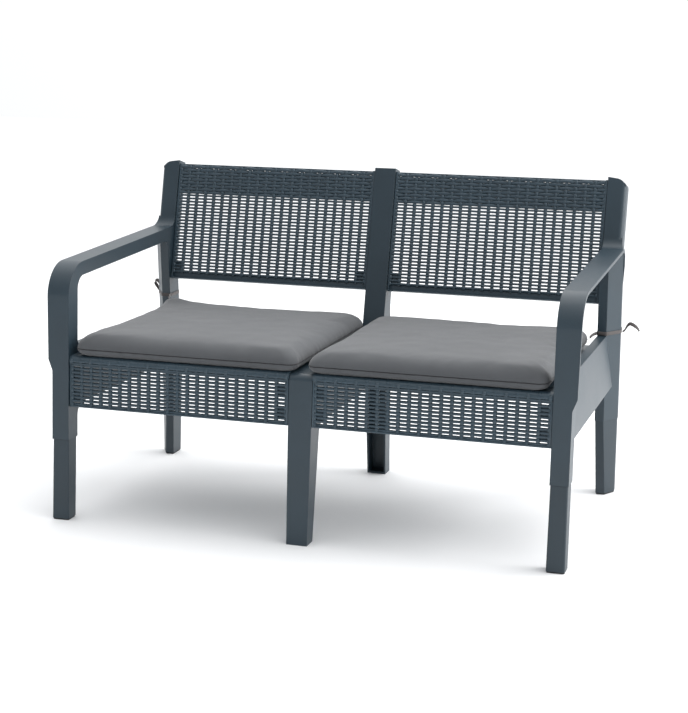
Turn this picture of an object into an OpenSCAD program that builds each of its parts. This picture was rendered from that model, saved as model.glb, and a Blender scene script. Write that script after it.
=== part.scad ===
// Two-seat resin garden bench: two moulded side frames and one centre frame carry
// woven-look seat, apron and back panels. Four plug-in lower legs finish the side
// frames, and two tied-on cushions lie on the seats.
// Millimetres. +X runs along the bench, the seats face -Y, +Z is up.
// The origin is on the ground, under the middle of the bench.

/* [Overall] */
// Width across the two arms
bench_w = 1224; // [1060:1:1500]
// Depth from the front feet to the top of the back
bench_d = 714; // [620:1:860]
// Height of the back posts
bench_h = 784; // [740:1:950]

/* [Side frames] */
// Width of the flat ribbon that makes the arm and the front leg
arm_w = 53; // [44:1:70]
// Height of the arm's top at the middle of the bench's depth
arm_h = 605; // [560:1:680]
// Rise of the arm towards the back, in degrees
arm_rise = 2.4; // [0:0.1:5]
// Wall of the ribbon
ribbon_t = 7.5; // [5:0.5:10]
// Wall of the other moulded faces
wall_t = 5; // [4:0.5:7]
// Depth of the arm's inner skirt, from the arm's top
arm_skirt = 32; // [24:1:45]
// Depth of the front leg, front to back
leg_d = 47; // [38:1:60]
// Outer radius of the bend between the front leg and the arm
front_bend_r = 80; // [40:1:110]
// Inner radius under that bend
under_bend_r = 32; // [15:1:60]
// Outer radius where the arm turns down into the rear leg
rear_bend_r = 28; // [15:1:45]
// Lean of the front legs, in degrees
front_lean = 2.64; // [0:0.1:6]
// Lean of the rear legs, in degrees
rear_lean = 4.2; // [0:0.1:8]
// Width of the rear leg, across the bench
rear_leg_w = 50; // [42:1:53]
// Depth of the rear leg, front to back
rear_leg_d = 58; // [50:1:75]
// Width of the rear leg's flat front face
rear_face_w = 22; // [16:1:30]
// How far the rear leg's outer face sweeps back
rear_sweep = 44; // [25:1:50]
// Gap from the back of the rear foot to the back of the bench
rear_foot_inset = 27; // [10:1:60]
// How much the front leg is narrower than the arm, at its outer side
leg_inset = 12; // [4:1:20]
// Underside of the side rail
rail_low = 266; // [230:1:290]
// Top of the side rail
rail_top = 405; // [390:1:430]
// Radius of the corners under the side rail
rail_fillet_r = 30; // [10:1:50]

/* [Lower legs] */
// Height of the joint between the lower legs and the frames
leg_joint_h = 190; // [150:1:220]
// Width of a foot
foot_w = 41; // [34:1:48]
// Depth of a front foot
front_foot_d = 40; // [32:1:46]
// Depth of a rear foot
rear_foot_d = 50; // [40:1:56]
// Step between the frame's wall and the lower leg below it
joint_step = 1.2; // [0.6:0.1:2]
// Height of the spigot that plugs into the frame
spigot_h = 48; // [30:1:60]
// Clearance between the spigot and its socket, on each side
spigot_gap = 0.4; // [0.2:0.1:0.8]
// Outward splay of the rear feet
rear_splay = 8; // [0:1:12]
// How far a rear foot's outer face sweeps back
rear_foot_sweep = 34; // [20:1:40]
// Thickness of the foot cap under the leg
foot_cap_t = 3; // [2:0.5:5]
// How far the cap's edge sits inside the leg's
cap_inset = 1.2; // [0.5:0.1:3]
// Clearance between the cap's plug and the leg around it
plug_gap = 1.6; // [1.2:0.1:3]

/* [Centre frame] */
// Width of the centre frame at the seat
mid_w = 54; // [44:1:70]
// Width of the centre frame at the ground
mid_foot_w = 48; // [38:1:64]
// Lean of the centre front leg, in degrees
mid_front_lean = 3.4; // [0:0.1:6]
// Depth of the centre feet
mid_foot_d = 40; // [32:1:50]
// Depth of the centre legs at the seat beam
mid_leg_d = 60; // [50:1:75]

/* [Back] */
// Lean of the back, in degrees
back_lean = 13.3; // [6:0.1:18]
// Depth of the back posts, front to back
post_d = 40; // [30:1:48]
// How much a side post is narrower than the arm, at its outer side
post_inset = 7; // [3:1:16]
// Height of the underside of the back panels
back_low = 484; // [450:1:520]
// Gap between the top of the back panels and the top of the posts
back_top_gap = 7; // [2:1:20]
// How far the back panels sit behind the face of the posts
back_recess = 3; // [0:0.5:8]
// Height of the closed woven band along the top of the back panels
band_h = 74; // [40:1:110]
// Height of the rail under the back panels
back_rail_h = 17; // [12:1:26]

/* [Seat] */
// Height of the seat panels' top
seat_h = 386; // [370:1:400]
// Thickness of the seat panels' plate
seat_t = 5; // [4:0.5:8]
// Thickness of the back panels' and aprons' plates
plate_t = 6; // [5:0.5:10]
// Depth of the seat panels' rim
rim_h = 26; // [20:1:40]
// Radius of the rolled front edge of the seat
seat_roll_r = 14; // [8:1:20]
// Depth of the cross ribs under the seats
rib_h = 40; // [28:1:55]
// Height of the front aprons
apron_h = 103; // [70:1:115]
// Gap between the aprons and the seat panels
apron_gap = 1; // [0.5:0.5:3]

/* [Weave] */
// Distance between the uprights of the weave
weave_pitch = 23.6; // [18:0.1:30]
// Distance between the strands of the weave
strand_pitch = 8.3; // [7:0.1:14]
// Width of an opening in the weave
slot_w = 17.4; // [12:0.1:20]
// Height of an opening in the weave
slot_h = 3.9; // [2:0.1:5]
// Width of the plain border around the weave
border_w = 5; // [3:0.5:14]

/* [Cushions] */
// Depth of a cushion, front to back
cushion_d = 560; // [460:1:565]
// Thickness of a cushion at its middle
cushion_t = 48; // [35:1:80]
// Gap between a cushion and the pieces around it
cushion_gap = 3; // [1:0.5:8]
// How far a cushion stands in front of the seat's edge
cushion_overhang = 8; // [0:1:20]
// Thickness of a cushion's cover
cover_t = 1; // [0.5:0.1:2]
// Width of the tie ribbons
tie_w = 9; // [6:1:14]
// Thickness of the tie ribbons
tie_t = 1.2; // [0.8:0.1:2]
// Height of the right cushion's tie above the ground
tie_h = 407; // [406:1:450]
// How much higher the left cushion's tie sits
tie_rise = 27; // [0:1:40]

/* [Screws] */
// Radius of a screw's shank
screw_r = 2.5; // [2:0.1:3]
// Length of a screw's shank
screw_len = 18; // [14:1:24]
// Radius of a screw's head
screw_head_r = 5; // [4:0.1:6]
// Height of a screw's head
screw_head_h = 3; // [2:0.1:4]
// Clearance around a screw's shank
screw_gap = 0.15; // [0.05:0.05:0.3]

/* [Hidden] */

resin = "#3b464b";
resin_dark = "#2d363a";
cap_black = "#141618";
steel = "#9aa0a4";
cover_grey = "#77777a";
pad_white = "#d9d9d4";
ribbon_brown = "#5d5857";

$fn = 48;
side = 2000;
eps = 0.01;
RIGHT = 1;
LEFT = -1;

// Faces of the side frames across the bench
x_out = bench_w / 2;
x_in = x_out - arm_w;
x_leg = x_out - leg_inset;
x_post = x_out - post_inset;
// The gap left between a panel and the frame beside it
fit_gap = 1;
panel_w = x_in - mid_w / 2 - 2 * fit_gap;
panel_x = (x_in + mid_w / 2) / 2;

rear_foot_y = bench_d / 2 - rear_foot_inset - rear_foot_d;
// Depth and height of a post's top, which is cut square to the slant
post_top_d = post_d * cos(back_lean);
post_top_h = post_d * sin(back_lean);

// Lines of the side view: each gives Y at a height, or a height at a Y
function front_y(z) = -bench_d / 2 + z * tan(front_lean);
function rear_y(z) = rear_foot_y - z * tan(rear_lean);
function heel_y(z) = rear_y(z) + rear_leg_d;
function back_y(z) = bench_d / 2 - post_top_d - (bench_h - z) * tan(back_lean);
function mid_front_y(z) = -bench_d / 2 + z * tan(mid_front_lean);

// Where the line y = y0 + ky * z meets the line z = z0 + kz * y
function meet(y0, ky, z0, kz) =
    let (z = (z0 + y0 * kz) / (1 - ky * kz))
    [y0 + z * ky, z];

function unit(v) = v / norm(v);
function wrap(a) = a > 180 ? a - 360 : (a < -180 ? a + 360 : a);

// Turn covered by one straight step of an arc, coarser on a small radius
function arc_step(r) = r < 16 ? 15 : 6;

// Points of an arc of radius r that rounds corner b between a and c
function corner_arc(a, b, c, r) =
    let (
        u = unit(a - b),
        v = unit(c - b),
        half = acos(u * v) / 2,
        t = r / tan(half),
        centre = b + unit(u + v) * r / sin(half),
        from = b + u * t - centre,
        to = b + v * t - centre,
        start = atan2(from[1], from[0]),
        sweep = wrap(atan2(to[1], to[0]) - start),
        n = max(1, ceil(abs(sweep) / arc_step(r)))
    )
    [for (i = [0 : n]) centre + r * [cos(start + sweep * i / n), sin(start + sweep * i / n)]];

// A closed outline from corners [a, b, radius]; a radius of 0 stays sharp
function rounded(corners) =
    let (n = len(corners), at = [for (c = corners) [c[0], c[1]]])
    [
        for (i = [0 : n - 1])
            for (p = corners[i][2] > 0
                ? corner_arc(at[(i + n - 1) % n], at[i], at[(i + 1) % n], corners[i][2])
                : [at[i]])
                p
    ];
function corner(p, r) = [p[0], p[1], r];

// A side-view outline (Y, Z) made solid between two X values
module across(x0, x1) {
    translate([x0, 0, 0])
        rotate([90, 0, 90])
            linear_extrude(x1 - x0)
                children();
}

// A front-view outline (X, Z) made solid between two Y values
module deep(y0, y1) {
    translate([0, y1, 0])
        rotate([90, 0, 0])
            linear_extrude(y1 - y0)
                children();
}

module for_side(s) {
    if (s == RIGHT)
        children();
    else
        mirror([1, 0, 0])
            children();
}

module rounded_rect(w, d, r) {
    polygon(rounded([[-w / 2, -d / 2, r], [w / 2, -d / 2, r], [w / 2, d / 2, r], [-w / 2, d / 2, r]]));
}

// ---- Side frames ----

// The outer skin's path, moved inwards by t
function skin_outline(t) =
    let (
        arm_drop = t / cos(arm_rise),
        front0 = -bench_d / 2 + t / cos(front_lean),
        heel0 = rear_foot_y + rear_leg_d - t / cos(rear_lean),
        arm0 = arm_h - arm_drop,
        low = leg_joint_h - (t > 0 ? 1 : 0)
    )
    [
        corner([front0 + low * tan(front_lean), low], 0),
        corner([heel0 - low * tan(rear_lean), low], 0),
        corner(meet(heel0, -tan(rear_lean), arm0, tan(arm_rise)), rear_bend_r - t),
        corner(meet(front0, tan(front_lean), arm0, tan(arm_rise)), front_bend_r - t)
    ];

module under_arm_opening() {
    front0 = -bench_d / 2 + leg_d / cos(front_lean);
    skirt0 = arm_h - arm_skirt / cos(arm_rise);
    polygon(rounded([
        corner([front_y(rail_top) + leg_d, rail_top], 10),
        corner([rear_y(rail_top), rail_top], 3),
        corner(meet(rear_foot_y, -tan(rear_lean), skirt0, tan(arm_rise)), 16),
        corner(meet(front0, tan(front_lean), skirt0, tan(arm_rise)), under_bend_r)
    ]));
}

module under_rail_opening() {
    low = leg_joint_h - 1;
    polygon(rounded([
        corner([front_y(low) + leg_d, low], 0),
        corner([rear_y(low), low], 0),
        corner([rear_y(rail_low), rail_low], rail_fillet_r),
        corner([front_y(rail_low) + leg_d, rail_low], rail_fillet_r)
    ]));
}

// The inner face: one plate with the two openings
module inner_plate() {
    across(x_in, x_in + wall_t)
        difference() {
            polygon(rounded(skin_outline(0)));
            under_arm_opening();
            under_rail_opening();
        }
}

// The flat ribbon: front leg, bend, arm and the turn down into the rear leg
module ribbon() {
    across(x_in, x_out)
        difference() {
            polygon(rounded(skin_outline(0)));
            polygon(rounded(skin_outline(ribbon_t)));
        }
}

// Walls that close the front leg into a box from its joint to the rail
module front_leg_box() {
    across(x_leg - wall_t, x_leg)
        polygon([
            [front_y(leg_joint_h), leg_joint_h],
            [front_y(leg_joint_h) + leg_d, leg_joint_h],
            [front_y(rail_top) + leg_d, rail_top],
            [front_y(rail_top + leg_d), rail_top + leg_d]
        ]);
    across(x_in, x_leg)
        polygon([
            [front_y(leg_joint_h) + leg_d - wall_t, leg_joint_h],
            [front_y(leg_joint_h) + leg_d, leg_joint_h],
            [front_y(rail_top) + leg_d, rail_top],
            [front_y(rail_top) + leg_d - wall_t, rail_top]
        ]);
}

// Plan of a rear leg of width w and depth d: a flat front strip, then a face that
// sweeps back to its outer side, with every face moved inwards by t
function rear_leg_points(w, d, face_w, sweep_d, t) =
    let (turn = atan2(sweep_d, w - face_w))
    [
        [t, t],
        [face_w - t * tan(turn / 2), t],
        [w - t, sweep_d + t * tan(45 - turn / 2)],
        [w - t, d - t],
        [t, d - t]
    ];

// The rear leg's own plan above the joint, to a depth d
module rear_socket_plan(d, t) {
    translate([x_in, 0])
        polygon(rear_leg_points(rear_leg_w, d, rear_face_w, rear_sweep, t));
}

module rear_leg_box() {
    intersection() {
        translate([0, rear_foot_y, 0])
            rotate([rear_lean, 0, 0])
                linear_extrude(bench_h)
                    difference() {
                        rear_socket_plan(rear_leg_d, 0);
                        rear_socket_plan(rear_leg_d, wall_t);
                    }
        across(x_in, x_out)
            polygon(rounded(skin_outline(0)));
    }
}

// The side rail: a top face, and an outer face that leans out towards its lower edge
module side_rail() {
    outer_low = rail_low + 14;
    y0 = front_y(rail_low) + leg_d + 3;
    y1 = rear_y(rail_low) + rear_sweep / 2;
    intersection() {
        deep(y0, y1)
            polygon([
                [x_in, rail_top - wall_t],
                [x_in + rear_face_w - wall_t, rail_top - wall_t],
                [x_out - 14 - wall_t, outer_low],
                [x_out - 14, outer_low],
                [x_in + rear_face_w, rail_top],
                [x_in, rail_top]
            ]);
        across(x_in, x_out)
            polygon([
                [y0, 0],
                [y1, 0],
                [rear_y(rail_top) + 4, rail_top],
                [y0, rail_top]
            ]);
    }
}

// Length of a back post along its slant, from the ground
post_len = bench_h / cos(back_lean);
post_cap_h = 22;

// Outline of a back post, seen square to its face: its top falls away to the outer
// side in a curve
module post_outline() {
    top_fall = 18;
    polygon(rounded([
        [x_in, 0, 0],
        [x_post, 0, 0],
        [x_post, post_len - top_fall, 12],
        [x_post - 16, post_len - 4, 24],
        [x_in, post_len, 0]
    ]));
}

// Places the children on the post's axis: Z up the slant, Y = 0 on its front face
module on_post() {
    translate([0, back_y(0), 0])
        rotate([-back_lean, 0, 0])
            children();
}

// The back post, which leans back from the arm and is open behind
module back_post() {
    low = arm_h - arm_skirt;
    post_w = x_post - x_in;
    intersection() {
        on_post()
            intersection() {
                translate([x_in + post_w / 2, post_d / 2, 0])
                    linear_extrude(2 * bench_h)
                        difference() {
                            union() {
                                rounded_rect(post_w, post_d, 12);
                                translate([-post_w / 2, -post_d / 2])
                                    square([post_w / 2, post_d]);
                                translate([-post_w / 2, 0])
                                    square([post_w, post_d / 2]);
                            }
                            translate([-post_w / 2 + wall_t, -post_d / 2 + wall_t])
                                square([post_w - 2 * wall_t, post_d]);
                        }
                deep(-1, post_d + 1)
                    post_outline();
            }
        translate([x_in - 1, back_y(low) - 1, low])
            cube([arm_w + 2, bench_d, bench_h]);
    }
    post_cap();
}

// The closed top of a back post
module post_cap() {
    on_post()
        intersection() {
            translate([x_in + wall_t / 2, 2, post_len - post_cap_h])
                cube([x_post - x_in - wall_t, post_d - 2, post_cap_h]);
            deep(0, post_d)
                difference() {
                    post_outline();
                    translate([0, -wall_t])
                        post_outline();
                }
        }
}

// The hollow curve between the arm's top and the face of the back post, which also
// narrows from the arm's width to the post's
module arm_fillet() {
    r = 34;
    narrow_h = 36;
    x_wide = x_out - 0.5;
    x_narrow = x_post - 1;
    foot = meet(back_y(0), tan(back_lean), arm_h - 1, tan(arm_rise));
    along_arm = foot - 1.3 * r * [cos(arm_rise), sin(arm_rise)];
    up_post = foot + 1.3 * r * [sin(back_lean), cos(back_lean)];
    arc = corner_arc(along_arm, foot, up_post, r);
    narrowing = [
        for (t = [0 : 0.125 : 1])
            [x_narrow + (x_wide - x_narrow) * pow(1 - t, 3), foot[1] - 2 + narrow_h * t]
    ];
    intersection() {
        across(x_in, x_wide)
            polygon(concat(arc, [foot + [4, -4]]));
        deep(-side, side)
            polygon(concat(
                [[x_in, rail_top], [x_wide, rail_top]],
                narrowing,
                [[x_narrow, bench_h], [x_in, bench_h]]
            ));
    }
}

// Front views that narrow the legs at their outer side below the arm
module side_taper() {
    flare_low = rail_low + 84;
    flare_high = rail_low + 110;
    arm_side = arm_h - front_bend_r;
    deep(-side, 0)
        polygon([
            [x_in, 0],
            [x_leg, 0],
            [x_leg, flare_low],
            [x_out - leg_inset / 6, flare_high],
            [x_out, arm_side],
            [x_out, bench_h],
            [x_in, bench_h]
        ]);
    deep(0, side)
        polygon([
            [x_in, 0],
            [x_in + rear_leg_w, 0],
            [x_in + rear_leg_w, arm_side],
            [x_out, arm_h - arm_skirt],
            [x_out, bench_h],
            [x_in, bench_h]
        ]);
}

module side_frame(s) {
    color(resin)
        for_side(s)
            difference() {
                union() {
                    intersection() {
                        union() {
                            ribbon();
                            inner_plate();
                            front_leg_box();
                            rear_leg_box();
                        }
                        side_taper();
                    }
                    side_rail();
                    back_post();
                    arm_fillet();
                }
                side_screw_holes();
            }
}

// ---- Lower legs ----

// Heights between which a lower leg tapers; the hollow inside runs out of its foot
function taper_low(t) = foot_cap_t - (t > 0 ? 1 : 0);
function taper_top(t) = leg_joint_h - eps - (t > 0 ? wall_t : 0);

// A level section of a lower leg, its front inner corner at [x, y, z]
module leg_section(x, y, z) {
    translate([x, y, z])
        linear_extrude(eps)
            children();
}

module front_leg_plan(w, d, t) {
    translate([w / 2, d / 2])
        rounded_rect(w - 2 * t, d - 2 * t, 4);
}

// The tapered form of a lower leg, with its walls moved inwards by t
module front_leg_taper(t) {
    low = taper_low(t);
    top = taper_top(t);
    hull() {
        leg_section(x_in, front_y(low), low)
            front_leg_plan(foot_w, front_foot_d, t);
        leg_section(x_in, front_y(top), top)
            front_leg_plan(x_leg - x_in, leg_d, t + joint_step);
    }
}

// A solid between two level outlines, lower and upper, with the same number of points
module loft(lower, upper) {
    n = len(lower);
    polyhedron(
        points = concat(lower, upper),
        faces = concat(
            [[for (i = [0 : n - 1]) i]],
            [[for (i = [n - 1 : -1 : 0]) n + i]],
            [for (i = [0 : n - 1]) [i, n + i, n + (i + 1) % n]],
            [for (i = [0 : n - 1]) [i, n + (i + 1) % n, (i + 1) % n]]
        )
    );
}
function placed(points, x, y, z) = [for (p = points) [x + p[0], y + p[1], z]];

module rear_leg_taper(t) {
    low = taper_low(t);
    top = taper_top(t);
    foot = rear_leg_points(foot_w, rear_foot_d, rear_face_w, rear_foot_sweep, t);
    socket = rear_leg_points(rear_leg_w, rear_leg_d, rear_face_w, rear_sweep, t + joint_step);
    loft(placed(foot, x_in + rear_splay, rear_y(low), low), placed(socket, x_in, rear_y(top), top));
}

// Keeps what lies between the lower leg's top plate and the top of its spigot
module spigot_zone() {
    intersection() {
        children();
        translate([-side, -side, leg_joint_h - wall_t])
            cube([2 * side, 2 * side, wall_t + spigot_h]);
    }
}

module lower_leg_front(s) {
    socket_w = x_leg - x_in - 2 * (wall_t + spigot_gap);
    socket_d = leg_d * cos(front_lean) - ribbon_t - wall_t - 2 * spigot_gap;
    color(resin_dark)
        for_side(s) {
            difference() {
                front_leg_taper(0);
                front_leg_taper(wall_t);
            }
            spigot_zone()
                translate([0, -bench_d / 2, 0])
                    rotate([-front_lean, 0, 0])
                        translate([x_in + wall_t + spigot_gap, ribbon_t + spigot_gap, 0])
                            linear_extrude(bench_h)
                                difference() {
                                    square([socket_w, socket_d]);
                                    translate([wall_t, wall_t])
                                        square([socket_w - 2 * wall_t, socket_d - 2 * wall_t]);
                                }
        }
}

module lower_leg_rear(s) {
    socket_d = rear_leg_d - ribbon_t / cos(rear_lean) + wall_t - 2 * spigot_gap;
    color(resin_dark)
        for_side(s) {
            difference() {
                rear_leg_taper(0);
                rear_leg_taper(wall_t);
            }
            spigot_zone()
                translate([0, rear_foot_y, 0])
                    rotate([rear_lean, 0, 0])
                        linear_extrude(bench_h)
                            rear_socket_plan(socket_d, wall_t + spigot_gap);
        }
}

// A foot cap: a pad under the leg with a plug that fills its open end
module foot_cap(s, x, y) {
    plug_h = 8;
    color(cap_black)
        for_side(s)
            translate([x, y, 0]) {
                linear_extrude(foot_cap_t)
                    children(0);
                translate([0, 0, foot_cap_t])
                    linear_extrude(plug_h)
                        children(1);
            }
}

module foot_cap_front(s) {
    foot_cap(s, x_in, front_y(0)) {
        front_leg_plan(foot_w, front_foot_d, cap_inset);
        front_leg_plan(foot_w, front_foot_d, wall_t + plug_gap);
    }
}

module foot_cap_rear(s) {
    foot_cap(s, x_in + rear_splay, rear_y(0)) {
        polygon(rear_leg_points(foot_w, rear_foot_d, rear_face_w, rear_foot_sweep, cap_inset));
        polygon(rear_leg_points(foot_w, rear_foot_d, rear_face_w, rear_foot_sweep, wall_t + plug_gap));
    }
}

// ---- Centre frame ----

// Side view of the centre frame, from the front foot over the beam to the back post
mid_top = seat_h - 2;
mid_bend_z = back_low - 44;
mid_rear_y = rear_y(0);
mid_rear_in = rear_y(rail_low) - 4;
mid_back_bend_y = back_y(mid_bend_z) + post_d + 12;

module mid_outline() {
    polygon(rounded([
        [mid_front_y(0), 0, 0],
        [mid_front_y(0) + mid_foot_d, 0, 0],
        [mid_front_y(rail_low) + mid_leg_d, rail_low, 24],
        [mid_rear_in, rail_low, 24],
        [mid_rear_y, 0, 0],
        [mid_rear_y + mid_foot_d, 0, 0],
        [mid_back_bend_y, mid_bend_z, 60],
        [back_y(bench_h) + post_top_d, bench_h - post_top_h, 0],
        [back_y(bench_h), bench_h, 0],
        [back_y(mid_top), mid_top, 6],
        [mid_front_y(mid_top), mid_top, 16]
    ]));
}

// The hollow inside the centre frame, open behind the front leg and the post,
// under the beam and in front of the rear leg
module mid_hollow() {
    polygon([
        [mid_front_y(wall_t) + wall_t, wall_t],
        [mid_front_y(0) + mid_foot_d + 1, wall_t],
        [mid_front_y(rail_low) + mid_leg_d + 1, rail_low - 1],
        [mid_rear_in - 1, rail_low - 1],
        [mid_rear_y - 1, wall_t],
        [mid_rear_y + mid_foot_d - wall_t, wall_t],
        [mid_back_bend_y - wall_t, mid_bend_z - 60],
        [mid_back_bend_y + 2, mid_bend_z - 58],
        [back_y(bench_h) + post_top_d + 2, bench_h - post_top_h - wall_t],
        [back_y(bench_h) + wall_t, bench_h - 2 * wall_t],
        [back_y(mid_top) + wall_t, mid_top - wall_t],
        [mid_front_y(mid_top) + wall_t, mid_top - wall_t]
    ]);
}

module mid_taper() {
    deep(-side, side)
        polygon([
            [-mid_foot_w / 2, -1],
            [mid_foot_w / 2, -1],
            [mid_w / 2, rail_low],
            [mid_w / 2, bench_h + 1],
            [-mid_w / 2, bench_h + 1],
            [-mid_w / 2, rail_low]
        ]);
}

module centre_frame() {
    color(resin)
        difference() {
            intersection() {
                difference() {
                    across(-mid_w / 2, mid_w / 2)
                        mid_outline();
                    across(-mid_w / 2 + wall_t + 2, mid_w / 2 - wall_t - 2)
                        mid_hollow();
                }
                mid_taper();
            }
            mid_screw_holes();
        }
}

// ---- Woven panels ----

// Centres of n openings at a pitch, about the middle of a length
function spread(n, pitch) = [for (i = [0 : n - 1]) (i - (n - 1) / 2) * pitch];

// A field of weave openings, its lower left corner at the origin
module weave_openings(w, h) {
    cols = floor(w / weave_pitch);
    rows = floor(h / strand_pitch);
    translate([w / 2, h / 2])
        for (x = spread(cols, weave_pitch))
            for (z = spread(rows, strand_pitch))
                translate([x, z])
                    square([slot_w, slot_h], center = true);
}

module woven_plate(w, h, x_border, low_border, top_border) {
    difference() {
        square([w, h]);
        translate([x_border, low_border])
            weave_openings(w - 2 * x_border, h - low_border - top_border);
    }
}

// Slant length of the back panels
back_len = (bench_h - back_top_gap - back_low) / cos(back_lean);
boss_w = 26;
boss_h = 24;

// Places the children on the back's face: X across, Y up the slant, Z forwards
module on_back(s) {
    for_side(s)
        translate([panel_x - panel_w / 2, back_y(back_low) + back_recess, back_low])
            rotate([90 - back_lean, 0, 0])
                children();
}

module back_panel(s) {
    rim_d = post_d - 14;
    rim_t = 4;
    color(resin)
        difference() {
            on_back(s) {
                translate([0, 0, -plate_t])
                    linear_extrude(plate_t)
                        woven_plate(panel_w, back_len, border_w, back_rail_h, band_h);
                translate([0, 0, -rim_d])
                    cube([panel_w, back_rail_h, rim_d + 3]);
                translate([0, 0, -rim_d])
                    cube([rim_t, back_len, rim_d]);
                translate([panel_w - rim_t, 0, -rim_d])
                    cube([rim_t, back_len, rim_d]);
                translate([0, back_len - rim_t, -rim_d])
                    cube([panel_w, rim_t, rim_d]);
                for (x = [0, panel_w - boss_w])
                    for (y = back_screw_up)
                        translate([x, y - boss_h / 2, -rim_d])
                            cube([boss_w, boss_h, rim_d]);
            }
            for_side(s)
                back_screw_places()
                    screw_hole(2 * screw_len);
        }
}

module seat_panel(s) {
    y0 = front_y(seat_h) + 1;
    y1 = back_y(seat_h) - 2;
    seat_len = y1 - y0;
    rim_t = 4;
    rim_y = y0 + seat_roll_r + 16;
    plain = 40;
    color(resin)
        difference() {
            for_side(s)
                translate([panel_x - panel_w / 2, 0, 0]) {
                    translate([0, 0, seat_h - seat_t])
                        linear_extrude(seat_t)
                            difference() {
                                translate([0, y0 + seat_roll_r])
                                    square([panel_w, seat_len - seat_roll_r]);
                                for (k = [0 : 3])
                                    translate([border_w, y0 + plain + k * (seat_len - plain) / 4])
                                        weave_openings(panel_w - 2 * border_w, 3 * strand_pitch);
                            }
                    across(0, panel_w)
                        polygon(rounded([
                            [y0, seat_h - seat_roll_r, 0],
                            [y0 + seat_roll_r + rim_t, seat_h - seat_roll_r, 0],
                            [y0 + seat_roll_r + rim_t, seat_h, 0],
                            [y0, seat_h, seat_roll_r - 1]
                        ]));
                    for (x = [0, panel_w - rim_t])
                        translate([x, rim_y, seat_h - rim_h])
                            cube([rim_t, y1 - rim_y, rim_h]);
                    translate([0, y1 - rim_t, seat_h - rib_h])
                        cube([panel_w, rim_t, rib_h]);
                    for (k = [1 : 3])
                        translate([0, y0 + plain - 10 + k * (seat_len - plain) / 4, seat_h - rib_h])
                            cube([panel_w, rim_t, rib_h]);
                    for (x = [0, panel_w - boss_w])
                        for (y = seat_screw_y)
                            translate([x, y - boss_h / 2, seat_h - rim_h])
                                cube([boss_w, boss_h, rim_h - 1]);
                }
            for_side(s)
                seat_screw_places()
                    screw_hole(2 * screw_len);
        }
}

apron_top = seat_h - seat_roll_r - apron_gap;
apron_low = apron_top - apron_h;

module front_apron(s) {
    rim_t = 4;
    rim_d = 20;
    color(resin)
        difference() {
            for_side(s)
                translate([panel_x - panel_w / 2, front_y(apron_low) + 4, apron_low])
                    rotate([90 - front_lean, 0, 0]) {
                        translate([0, 0, -plate_t])
                            linear_extrude(plate_t)
                                woven_plate(panel_w, apron_h, border_w, rim_t, rim_t);
                        for (x = [0, panel_w - rim_t])
                            translate([x, 0, -rim_d])
                                cube([rim_t, apron_h, rim_d]);
                        for (y = [0, apron_h - rim_t])
                            translate([0, y, -rim_d / 2])
                                cube([panel_w, rim_t, rim_d / 2 + 1]);
                        for (x = [0, panel_w - boss_w])
                            for (y = apron_screw_up)
                                translate([x, y - boss_h / 2, -rim_d])
                                    cube([boss_w, boss_h, rim_d - plate_t / 2]);
                    }
            for_side(s)
                apron_screw_places()
                    screw_hole(2 * screw_len);
        }
}

// ---- Screws ----

// Every screw lies along X: it passes through a frame's wall into a panel's boss
back_screw_up = [back_rail_h + boss_h / 2 + 1, back_len - 2 * boss_h];
seat_screw_y = [front_y(seat_h) + 110, back_y(seat_h) - 90];
apron_screw_up = [26, apron_h - 26];
boss_mid_z = seat_h - (rim_h + seat_t) / 2;
boss_mid_back = post_d / 2 - 4;

module at_both_ends() {
    translate([x_in + wall_t, 0, 0])
        children();
    translate([mid_w / 2 - wall_t - 2, 0, 0])
        mirror([1, 0, 0])
            children();
}

module screw() {
    translate([screw_head_h, 0, 0])
        rotate([0, -90, 0])
            cylinder(r = screw_head_r, h = screw_head_h);
    rotate([0, -90, 0])
        cylinder(r = screw_r, h = screw_len);
}

module screw_hole(len) {
    translate([1, 0, 0])
        rotate([0, -90, 0])
            cylinder(r = screw_r + screw_gap, h = len);
}

module back_screw_places() {
    at_both_ends()
        for (up = back_screw_up)
            translate([0, back_y(back_low), back_low])
                rotate([-back_lean, 0, 0])
                    translate([0, back_recess + boss_mid_back, up])
                        children();
}

module seat_screw_places() {
    at_both_ends()
        for (y = seat_screw_y)
            translate([0, y, boss_mid_z])
                children();
}

module apron_screw_places() {
    at_both_ends()
        for (up = apron_screw_up)
            translate([0, front_y(apron_low) + 4, apron_low])
                rotate([-front_lean, 0, 0])
                    translate([0, 14, up])
                        children();
}

module side_screw_holes() {
    back_screw_places()
        screw_hole(screw_len);
    seat_screw_places()
        screw_hole(screw_len);
    apron_screw_places()
        screw_hole(screw_len);
}

module mid_screw_holes() {
    for (s = [LEFT, RIGHT])
        for_side(s)
            side_screw_holes();
}

module back_panel_screws() {
    color(steel)
        for (s = [LEFT, RIGHT])
            for_side(s)
                back_screw_places()
                    screw();
}

module seat_screws() {
    color(steel)
        for (s = [LEFT, RIGHT])
            for_side(s)
                seat_screw_places()
                    screw();
}

module apron_screws() {
    color(steel)
        for (s = [LEFT, RIGHT])
            for_side(s)
                apron_screw_places()
                    screw();
}

// ---- Cushions ----

cushion_w = x_in - 2 * cushion_gap;
cushion_x = x_in / 2;
// The cushions overhang the seat's front edge, further if the posts need the room behind
cushion_room = 2;
cushion_y0 = min(front_y(seat_h) - cushion_overhang, back_y(seat_h) - cushion_room - cushion_d);
cushion_z = seat_h + 0.5;

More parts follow.
